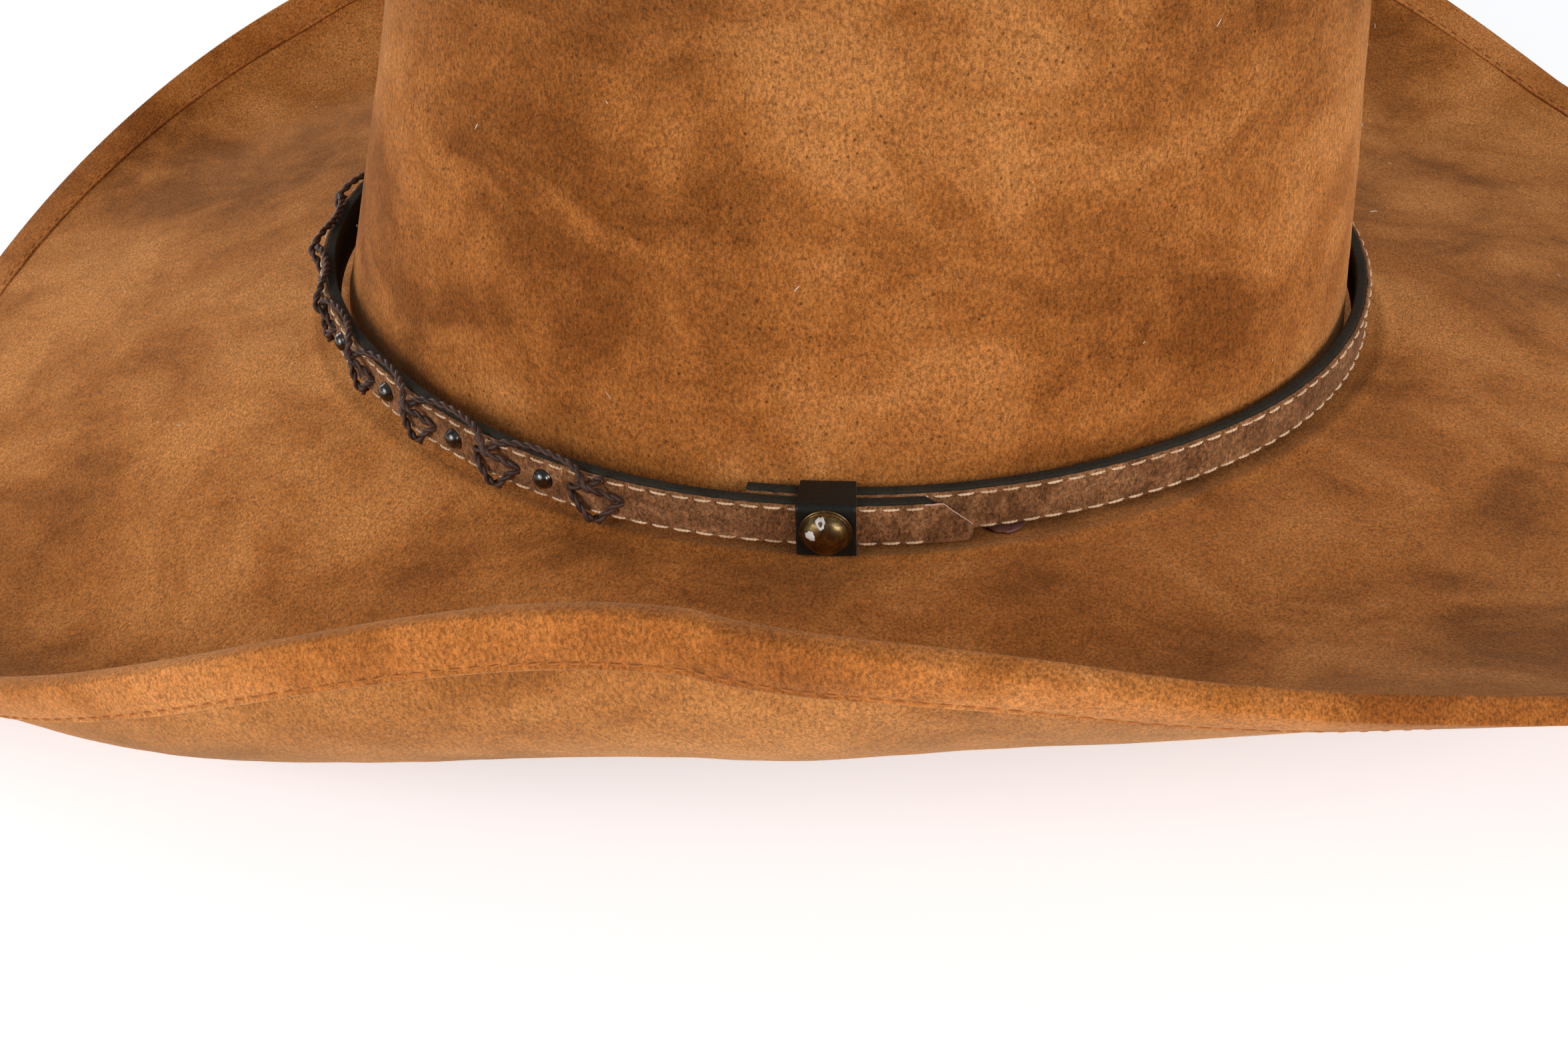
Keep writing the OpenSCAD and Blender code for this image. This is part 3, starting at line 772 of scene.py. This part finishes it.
def sweatband():
    """The leather band: its top edge waves, and its face is pressed in along the stitches."""
    q = even_stations(320, -8)
    wave = 0.25 * np.sin(np.radians(q * 7)) + 0.15 * np.sin(np.radians(q * 17 + 40))
    outer = [(0.3, 0), (10, 0), (20, 0), (30, 0), (37.2, 0), (37.9, 0.3), (SWEAT_H, 0.55)]
    inner = [(37.8, 0.85), (37, 1.0), (30, 1.0), (20, 1.05), (10, 1.0), (4, 0.9), (SWEAT_STITCH_Z, 0.75),
             (2, 0.9), (0.3, 1.0), (0, 0.8), (0, 0.2)]
    cols = []
    for z, off in outer + inner:
        lean = wave * (z / SWEAT_H) ** 2 * 0.6
        cols.append(np.stack(inside(q, z, SWEAT_OUT + off + lean + 0.1), axis=-1))
    band = hoops("sweatband_leather", np.stack(cols, axis=1), "hat", sweat_leather)
    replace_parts(band, "sweatband")


def sweatband_reed():
    """The reed that stiffens the band's lower edge."""
    q = even_stations(320, -8)
    cols = [np.stack(inside(q, -0.85 + REED_R * math.sin(a), SWEAT_OUT + 0.5 + REED_R * math.cos(a)), axis=-1)
            for a in np.radians(range(0, 360, 30))]
    reed = hoops("sweatband_reed_cord", np.stack(cols, axis=1), "hat", reed_plastic)
    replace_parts(reed, "sweatband_reed")


def sweatband_stitches():
    """Cream stitches low on the band's inner face."""
    verts, faces = [], []
    for here in even_stations(SWEAT_STITCHES, -8):
        def at(move, deep, here=here):
            turn = here + math.degrees(move / 90)
            place = inside(np.array(turn), np.array(SWEAT_STITCH_Z), SWEAT_OUT + SWEAT_T + 0.15 - deep)
            return np.array([float(v) for v in place])
        stitch(at, 2.7, 0.26, verts, faces, 0.3)
    rows = piece("sweatband_stitches", verts, faces, "hat", cream_thread)
    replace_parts(rows, "sweatband_stitching")


sweatband()
sweatband_reed()
sweatband_stitches()


def ribbon_strip(path, width_dir, width, thick, verts, faces):
    """A flat ribbon along path, as wide as width along width_dir."""
    path = np.asarray(path, dtype=float)
    step = np.gradient(path, axis=0)
    step /= np.linalg.norm(step, axis=1)[:, None]
    across = np.asarray(width_dir, dtype=float)
    base = len(verts)
    for i, p in enumerate(path):
        w = width[i] if np.ndim(width) else width
        normal = np.cross(step[i], across)
        normal /= np.linalg.norm(normal)
        outline = ((-w, -thick), (0, -thick * 1.3), (w, -thick), (w, thick), (0, thick * 0.7), (-w, thick))
        for a, b in outline:
            verts.append(p + across * a / 2 + normal * b / 2)
    faces.extend(grid_faces(len(path), 6, False, True, base))
    faces.extend(end_faces(len(path), 6, base))


def bow():
    """A small ribbon bow sewn to the sweatband's back: two loops, two tails and a knot."""
    back_y = float(inside(np.array(90.0), np.array(BOW_Z), SWEAT_OUT + SWEAT_T)[1]) - 1.0
    verts, faces = [], []
    for side in (-1, 1):
        turn = np.linspace(0, 2 * math.pi, 25)
        reach = 5.2 * (1 - np.cos(turn)) * side
        puff = 1.1 * np.sin(turn)
        path = np.stack([reach, back_y - 0.9 - puff, BOW_Z + 0.12 * side * reach], axis=-1)
        width = 2.2 + 3.0 * np.sin(turn / 2) ** 1.5
        ribbon_strip(path, (0, 0, 1), width, 0.22, verts, faces)
        drop = np.linspace(0, 1, 12)
        path = np.stack([side * (0.4 + 5.0 * drop ** 0.8), back_y - 1.0 - 0.5 * np.sin(drop * 5),
                         BOW_Z - 0.5 - 7.5 * drop], axis=-1)
        ribbon_strip(path, (0.83, 0, 0.55 * side), 2.4 + 1.5 * drop, 0.22, verts, faces)
    a = np.linspace(0, 2 * math.pi, 17)
    path = np.stack([1.5 * np.cos(a), back_y - 1.0 + 1.5 * np.sin(a), BOW_Z + 0 * a], axis=-1)
    ribbon_strip(path, (0, 0, 1), 3.4, 0.3, verts, faces)
    obj = piece("sweatband_ribbon_bow", verts, faces, "hat", ribbon)
    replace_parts(obj, "sweatband_bow")


bow()


def size_tag():
    """A blank woven tag sewn to the band at its top and curling slightly away below."""
    face_x = float(inside(np.array(180.0), np.array(float(TAG_LOW)), SWEAT_OUT + SWEAT_T)[0])
    thick = 0.35
    rows = []
    for z in np.linspace(TAG_LOW, TAG_HIGH, 16):
        curl = 0.55 + 0.8 * ((TAG_HIGH - z) / (TAG_HIGH - TAG_LOW)) ** 2 + SIDE_SLOPE * (z - TAG_LOW)
        row = []
        for start, end, lift in ((-TAG_HALF, TAG_HALF, 0.0), (TAG_HALF, -TAG_HALF, thick)):
            for y in np.linspace(start, end, 15):
                row.append((face_x + curl + 0.15 * math.cos(y * 0.5) + y * y / 250 + lift, y, z))
        rows.append(row)
    obj = hoops("blank_size_tag", rows, "hat", tag_cloth, closed=False)
    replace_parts(obj, "size_tag")


size_tag()


# ---- Hatband strap ----
def strap_d(q):
    """How far the strap's back lies outside the crown's oval: it climbs over its own start."""
    return STRAP_GAP + LAYER_STEP * smooth((q - RAMP_END + RAMP_LEN) / RAMP_LEN)


def tail_cut(q, inset):
    """Lowest and highest z of the strap: its end is cut to a point above and rounded below."""
    left = np.maximum(0, np.radians(TAIL_Q - q) * (side_r + 5))
    bend = np.clip(1 - left / TAIL_ROUND, 0, 1)
    low = STRAP_Z + inset + TAIL_ROUND * (1 - np.sqrt(1 - bend ** 2))
    high = STRAP_Z + STRAP_H - inset - np.maximum(0, TAIL_POINT - left * 0.95)
    return low, high


def strap_layer(name, deep, outer, inset, r, material, node, tuck=0.0):
    """One layer of the strap. tuck pulls its end in behind the layer outside it."""
    end_len, end_rows = 4, 50
    q = np.concatenate([np.linspace(START_Q, TAIL_Q - end_len, 720),
                        np.linspace(TAIL_Q - end_len + 0.1, TAIL_Q, end_rows)])
    low, high = tail_cut(q, inset)
    ending = smooth((q - TAIL_Q + end_len) / 1.2)
    low, high = low + 0.4 * tuck * ending, high - tuck * ending
    d = strap_d(q)
    sections = []
    for i, here in enumerate(q):
        mid, tall = (low[i] + high[i]) / 2, high[i] - low[i]
        waver = 0.05 * math.sin(here * 3.1) + 0.04 * math.sin(here * 7.7 + 1)
        row = []
        for across, up in rounded(outer - deep, tall, r):
            x, y = oval(here, d[i] + (deep + outer) / 2 + across)
            row.append((float(x), float(y), mid + up + waver * (up > 0) * inset * 2))
        sections.append(row)
    obj = hoops(name, sections, "hatband", material, closed=False)
    if not tuck:
        paint_raw_edge(obj, len(q) - end_rows - 2, len(sections[0]))
    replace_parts(obj, node)


def paint_raw_edge(strap, first_row, cols):
    """Gives the slanting cut at the strap's tail the colour of raw suede."""
    strap.data.materials.append(raw_edge)
    top = range(cols // 4 - 2, cols // 4 + 2)
    for face in strap.data.polygons:
        if face.index // cols > first_row and face.index % cols in top:
            face.material_index = 1


strap_layer("strap_black_core", 0, CORE_T, 0, 0.35, core_leather, "strap_core", 1.6)
strap_layer("strap_suede_face", CORE_T + 0.01, STRAP_T, 0.35, 0.3, strap_face_suede,
            "strap_face")


def on_face(s, v, w):
    """Place on the strap's face: distance from the front, height from its middle, and outward."""
    q = front_q(s, STRAP_GAP + STRAP_T)
    if q < START_Q - 0.5:
        q += 360
    x, y = oval(q, float(strap_d(q)) + STRAP_T + w)
    return np.array([float(x), float(y), STRAP_MID + v])


def strap_stitches(name, v, node):
    """Cream stitches along the strap, counted from its hidden start to its tail."""
    verts, faces = [], []
    q = START_Q + 1.2
    while q < TAIL_Q - 3.0:
        on_side = abs(math.cos(math.radians(q))) >= math.cos(math.radians(join_q))
        r_here = side_r if on_side else END_R
        lean = rng.uniform(-0.05, 0.05)
        size = rng.uniform(0.93, 1.05)

        def at(move, deep, q=q, r_here=r_here, lean=lean):
            turn = q + math.degrees(move / (r_here + 4))
            x, y = oval(turn, float(strap_d(turn)) + STRAP_T + 0.14 - deep)
            return np.array([float(x), float(y), STRAP_MID + v + lean * move])
        stitch(at, 3.6 * size, 0.27, verts, faces, 0.5, plies=2)
        q += math.degrees(STITCH_PITCH / (r_here + 4))
    obj = piece(name, verts, faces, "hatband", cream_thread)
    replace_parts(obj, node)


STITCH_V = STRAP_H / 2 - STITCH_IN
strap_stitches("strap_stitches_upper", STITCH_V, "strap_stitching_upper")
strap_stitches("strap_stitches_lower", -STITCH_V, "strap_stitching_lower")


def spline(points, steps):
    """A smooth curve through points (Catmull-Rom)."""
    p = np.asarray(points, dtype=float)
    p = np.concatenate([[2 * p[0] - p[1]], p, [2 * p[-1] - p[-2]]])
    out = []
    for i in range(1, len(p) - 2):
        a, b, c, d = p[i - 1], p[i], p[i + 1], p[i + 2]
        for t in np.linspace(0, 1, steps, endpoint=False):
            out.append(0.5 * (2 * b + (c - a) * t + (2 * a - 5 * b + 4 * c - d) * t * t
                              + (3 * b - a - 3 * c + d) * t ** 3))
    out.append(p[-2])
    return out


def lacing():
    """One waxed cord: a cross midway between studs, through two holes and round both edges.

    Places are [distance from the front, height, outward]; edge, lie and over are the strap's edge, a
    cord that lies on the strap, and one that passes over a cord.
    """
    edge, lie, over = STRAP_H / 2, CORD_R + 0.05, CORD_R + 0.6
    route = []
    for k in range(-LACE_HALF, LACE_HALF + 1):
        s, p = k * LACE_PITCH, LACE_PITCH
        route += [(s + HOLE_HALF, 0.1, -0.5), (s + HOLE_HALF - 1.3, -0.9, lie), (s + 2.6, -2.4, over),
                  (s + 0.9, -edge - 0.3, over), (s, -edge - 0.8, 0.1), (s - 0.9, -edge - 0.3, over),
                  (s - 2.8, -2.4, over), (s - HOLE_HALF + 1.2, -0.8, lie), (s - HOLE_HALF, 0.1, -0.5),
                  (s - HOLE_HALF + 1.1, 0.8, lie), (s - 2.4, 1.9, lie), (s, 3.3, over),
                  (s + 2.2, edge + 0.5, lie), (s + p / 2 - 4, edge + 0.85, -0.9),
                  (s + p / 2 + 2, edge + 0.85, -1.0), (s + p - 3.4, edge + 0.8, 0.6),
                  (s + p, 3.3, 3 * lie + 0.5), (s + p + 2.4, 1.9, 2 * lie),
                  (s + p + HOLE_HALF - 1.1, 0.8, lie)]
    path = spline([on_face(*place) for place in route[:-6]], 7)
    verts, faces = [], []
    for ply in range(2):
        tube_mesh(path, PLY_R, 8, verts, faces, False, (PLY_ORBIT, PLY_TWIST, math.pi * ply))
    obj = piece("lacing_waxed_cord", verts, faces, "hatband", waxed_cord)
    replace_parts(obj, "lacing_cord")


lacing()


def lathe(profile, at, out, steps, verts, faces):
    """Turns profile points (radius, height) about an axis from at along out."""
    out = np.asarray(out, dtype=float)
    u = np.cross(out, (0, 0, 1.0))
    u /= np.linalg.norm(u)
    v = np.cross(out, u)
    base = len(verts)
    for r, h in profile:
        for j in range(steps):
            a = 2 * math.pi * j / steps
            verts.append(np.asarray(at) + out * h + r * (u * math.cos(a) + v * math.sin(a)))
    faces.extend(grid_faces(len(profile), steps, False, True, base))
    faces.extend(end_faces(len(profile), steps, base))


def studs():
    """Domed studs with a thin rim, one between each two lacing crosses."""
    verts, faces = [], []
    rim, rise = 0.34, 1.35
    profile = [(0.6, -0.5), (0.7, 0.02), (STUD_R, 0.02), (STUD_R + 0.02, 0.2), (STUD_R - 0.1, rim)]
    profile += [((STUD_R - 0.15) * math.cos(a), rim + rise * math.sin(a))
                for a in np.radians((8, 20, 32, 44, 56, 68, 80, 87))]
    for k in range(-LACE_HALF, LACE_HALF):
        s = (k + 0.5) * LACE_PITCH
        at = on_face(s, 0, 0)
        out = on_face(s, 0, 1) - at
        lathe(profile, at, out, 32, verts, faces)
    obj = piece("stud_dome_heads", verts, faces, "hatband", gunmetal)
    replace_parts(obj, "stud_domes")


studs()

# ---- Keeper ----
KEEPER_IN = side_r + STRAP_GAP - 0.3
KEEPER_OUT = side_r + STRAP_GAP + LAYER_STEP + STRAP_T + 2 * THREAD_R + 0.6
keeper_dir = np.array([math.cos(math.radians(KEEPER_AT)), math.sin(math.radians(KEEPER_AT)), 0.0])


def loop_ring(r0, r1, z0, z1, corner):
    """Points round a rounded rectangle in the plane of radius and height."""
    mid_r, mid_z = (r0 + r1) / 2, (z0 + z1) / 2
    return [(mid_r + a, mid_z + b) for a, b in rounded(r1 - r0, z1 - z0, corner, 6)]


def keeper_loop():
    """A leather strip closed round the overlapped strap, with paler cut edges."""
    low, high = STRAP_Z - 0.2, STRAP_Z + STRAP_H + 0.2
    within = loop_ring(KEEPER_IN, KEEPER_OUT, low, high, 0.6)
    without = loop_ring(KEEPER_IN - 0.6, KEEPER_OUT + LOOP_T, low - LOOP_T, high + LOOP_T, 1.4)
    half = KEEPER_W / 2
    across = [(-half, 0.22), (-half, 0.78), (-half + 0.2, 1.0)]
    across += [(u, 1.0) for u in np.linspace(-half + 0.6, half - 0.6, 7)]
    across += [(half - 0.2, 1.0), (half, 0.78), (half, 0.22), (half - 0.2, 0.0)]
    across += [(u, 0.0) for u in np.linspace(half - 0.6, -half + 0.6, 5)]
    across += [(-half + 0.2, 0.0)]
    sections = []
    for (ri, zi), (ro, zo) in zip(within, without):
        row = []
        for u, t in across:
            r, z = ri + (ro - ri) * t, zi + (zo - zi) * t
            turn = math.radians(KEEPER_AT) + u / KEEPER_OUT
            row.append((-side_c + r * math.cos(turn), r * math.sin(turn), z))
        sections.append(row)
    obj = hoops("keeper_leather_loop", sections, "keeper", loop_leather)
    obj.data.materials.append(cut_edge)
    edges = {0, across.index((half, 0.78))}
    for face in obj.data.polygons:
        if face.index % len(across) in edges:
            face.material_index = 1
    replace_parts(obj, "keeper_loop")


keeper_loop()


CONCHO_RIM = 0.55
CONCHO_BALL = (CONCHO_R - 0.5, CONCHO_H - CONCHO_RIM)
concho_at = np.array([-side_c, 0, STRAP_MID + CONCHO_UP]) + keeper_dir * (KEEPER_OUT + LOOP_T + 0.1)


def concho():
    """A domed brass button with a rolled rim."""
    verts, faces = [], []
    profile = [(1.2, 0.0), (CONCHO_R - 0.25, 0.0), (CONCHO_R, 0.14), (CONCHO_R + 0.02, 0.34),
               (CONCHO_R - 0.16, 0.5), (CONCHO_R - 0.42, 0.5), (CONCHO_R - 0.5, CONCHO_RIM)]
    profile += [(CONCHO_BALL[0] * math.cos(a), CONCHO_RIM + CONCHO_BALL[1] * math.sin(a))
                for a in np.radians((6, 14, 22, 30, 38, 46, 54, 62, 70, 78, 84, 88))]
    lathe(profile, concho_at, keeper_dir, 72, verts, faces)
    obj = piece("keeper_brass_dome", verts, faces, "keeper", brass)
    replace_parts(obj, "keeper_concho")


def paint_fleck(name, u, v, size, hollow):
    """An old fleck of paint on the dome, u across and v up from its middle, perhaps worn through."""
    side = np.cross((0, 0, 1.0), keeper_dir)
    verts = []
    rings, steps = (hollow, (hollow + 1) / 2, 1.0), 28
    for ring in rings:
        for j in range(steps):
            a = 2 * math.pi * j / steps
            r = size * ring * (1 + 0.13 * math.sin(3 * a + u) + 0.08 * math.sin(7 * a))
            across, up = u + r * math.cos(a), v + r * math.sin(a)
            share = min(0.98, math.hypot(across, up) / CONCHO_BALL[0])
            skin = 0.05 if ring < 1 else -0.02
            h = CONCHO_RIM + CONCHO_BALL[1] * math.sqrt(1 - share * share) + skin
            verts.append(concho_at + keeper_dir * h + side * across + np.array([0, 0, up]))
    faces = grid_faces(len(rings), steps, False, True)
    if not hollow:
        faces.append(tuple(range(steps)))
    fleck = piece(name, verts, faces, "keeper", fleck_paint)
    thicken = fleck.modifiers.new("body", "SOLIDIFY")
    thicken.thickness = 0.06 * MM


concho()
paint_fleck("dome_paint_fleck_upper", -0.75, 3.25, 0.8, 0.45)
paint_fleck("dome_paint_fleck_lower", -2.5, 0.95, 0.85, 0.0)


# ---- Small marks of use ----
def glue_residue():
    """Dried glue on the brim, along the strap's lower edge and just past its tail."""
    start_q, span_q, nearest, width = 21.7, 3.5, 1.2, 3.4
    rows, cols = 26, 11
    grid = []
    for i in range(rows):
        q = start_q + span_q * i / (rows - 1)
        swell = math.sin(math.pi * i / (rows - 1)) ** 0.5
        for j in range(cols):
            t = j / (cols - 1)
            ragged = 0.5 * noise.noise(Vector((q * 2.3, t * 2.0, 3.0)))
            s = nearest + (width * t + ragged) * swell
            height = 0.5 + 0.25 * math.sin(math.pi * t) * swell + 0.1 * ragged
            x, y, z = brim(np.array(q), np.array(s), -height)
            grid.append((float(x), float(y), float(z)))
    faces = grid_faces(rows, cols, False, False)
    obj = piece("dried_glue_mark", grid, faces, "hat", glue)
    body = obj.modifiers.new("body", "SOLIDIFY")
    body.thickness = 0.6 * MM
    body.offset = 0.0


glue_residue()


def lint():
    """A few short loose fibres on the brim, and then some on the crown's wall."""
    verts, faces = [], []
    on_brim, on_crown = 26, 20
    for _ in range(on_brim):
        q = rng.uniform(0, 360)
        s = rng.uniform(12, 95)
        heading = rng.uniform(0, 2 * math.pi)
        length = rng.uniform(0.5, 2.4)
        bend = rng.uniform(-0.9, 0.9)
        path = []
        for t in np.linspace(0, 1, 7):
            along_q = q + math.degrees(length * t * math.cos(heading + bend * t) / 140)
            across = s + length * t * math.sin(heading + bend * t)
            x, y, z = brim(np.array(along_q), np.array(across), -0.42 - 0.1 * math.sin(t * 6))
            path.append((float(x), float(y), float(z)))
        tube_mesh(path, rng.uniform(0.04, 0.09), 5, verts, faces, True)
    for _ in range(on_crown):
        q, k = rng.uniform(0, 360), rng.uniform(0.15, 1.0)
        length, lean = rng.uniform(0.4, 1.6), rng.uniform(-1, 1)
        path = []
        for t in np.linspace(0, 1, 6):
            along_q, climb = q + lean * length * t * 0.5, k + length * t * 0.01
            x, y, z = crown(np.array(along_q), np.array(climb), -0.45)
            path.append((float(x), float(y), float(z)))
        tube_mesh(path, rng.uniform(0.04, 0.08), 5, verts, faces, True)
    piece("white_lint", verts, faces, "hat", lint_white)


lint()

# ---- Carried-over CAD nodes: the posts and the rivet ----
for node in ("stud_posts", "keeper_rivet"):
    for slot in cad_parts[node].material_slots:
        slot.material = gunmetal

# ---- Floor, light and camera, in metres ----
FLOOR_HALF = 6.0
floor_z = min(float(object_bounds()[0][2]), float(cad_box[0][2]))
corners = ((-1, -1), (1, -1), (1, 1), (-1, 1))
floor_mesh = bpy.data.meshes.new("floor")
floor_mesh.from_pydata([(a * FLOOR_HALF, b * FLOOR_HALF, floor_z) for a, b in corners], [], [(0, 1, 2, 3)])
floor = bpy.data.objects.new("floor", floor_mesh)
bpy.context.collection.objects.link(floor)
white = Shade("floor_white")
white.set(base_color=(0.90, 0.91, 0.93, 1), roughness=0.95, specular_ior_level=0.1)
white.set(emission_color=(0.95, 0.97, 1.0, 1), emission_strength=0.4)
floor_mesh.materials.append(white.mat)

world = bpy.data.worlds.new("studio")
bpy.context.scene.world = world
world.use_nodes = True
sky = world.node_tree.nodes["Background"]
sky.inputs["Color"].default_value = (1.0, 1.0, 1.0, 1)
sky.inputs["Strength"].default_value = 0.25


def softbox(name, place, power):
    """A square area light that faces the hat's middle."""
    light = bpy.data.lights.new(name, "AREA")
    light.shape = "RECTANGLE"
    light.size, light.size_y = 0.7, 0.7
    light.energy = power
    lamp = bpy.data.objects.new(name, light)
    bpy.context.collection.objects.link(lamp)
    lamp.location = place
    lamp.rotation_euler = (-Vector(place)).to_track_quat("-Z", "Y").to_euler()


softbox("right_box", (0.64, 1.04, 0.45), 10.8)
softbox("left_box", (0.95, -0.75, 0.50), 9.6)
softbox("rear_box", (-0.62, -1.07, 0.40), 5.5)
softbox("top_box", (-0.40, 0.55, 1.05), 1.8)

CAM_AZIMUTH = math.radians(103.8)
CAM_ELEVATION = math.radians(36.93)
CAM_ROLL = math.radians(-2.04)
CAM_DISTANCE = 0.5053
CAM_TARGET = Vector((0, -0.01347, -0.06306))
back = Vector((math.sin(CAM_AZIMUTH) * math.cos(CAM_ELEVATION),
               -math.cos(CAM_AZIMUTH) * math.cos(CAM_ELEVATION), math.sin(CAM_ELEVATION)))
right = back.cross(Vector((0, 0, -1))).normalized()
up = back.cross(right)
turned_x = math.cos(CAM_ROLL) * right + math.sin(CAM_ROLL) * up
turned_y = math.cos(CAM_ROLL) * up - math.sin(CAM_ROLL) * right
lens = bpy.data.cameras.new("camera")
lens.lens = 50.05
lens.sensor_width = 36
camera = bpy.data.objects.new("camera", lens)
bpy.context.collection.objects.link(camera)
camera.matrix_world = Matrix.Translation(CAM_TARGET + back * CAM_DISTANCE) @ Matrix(
    (turned_x, turned_y, back)).transposed().to_4x4()
bpy.context.scene.camera = camera
bpy.context.scene.view_settings.view_transform = "Standard"
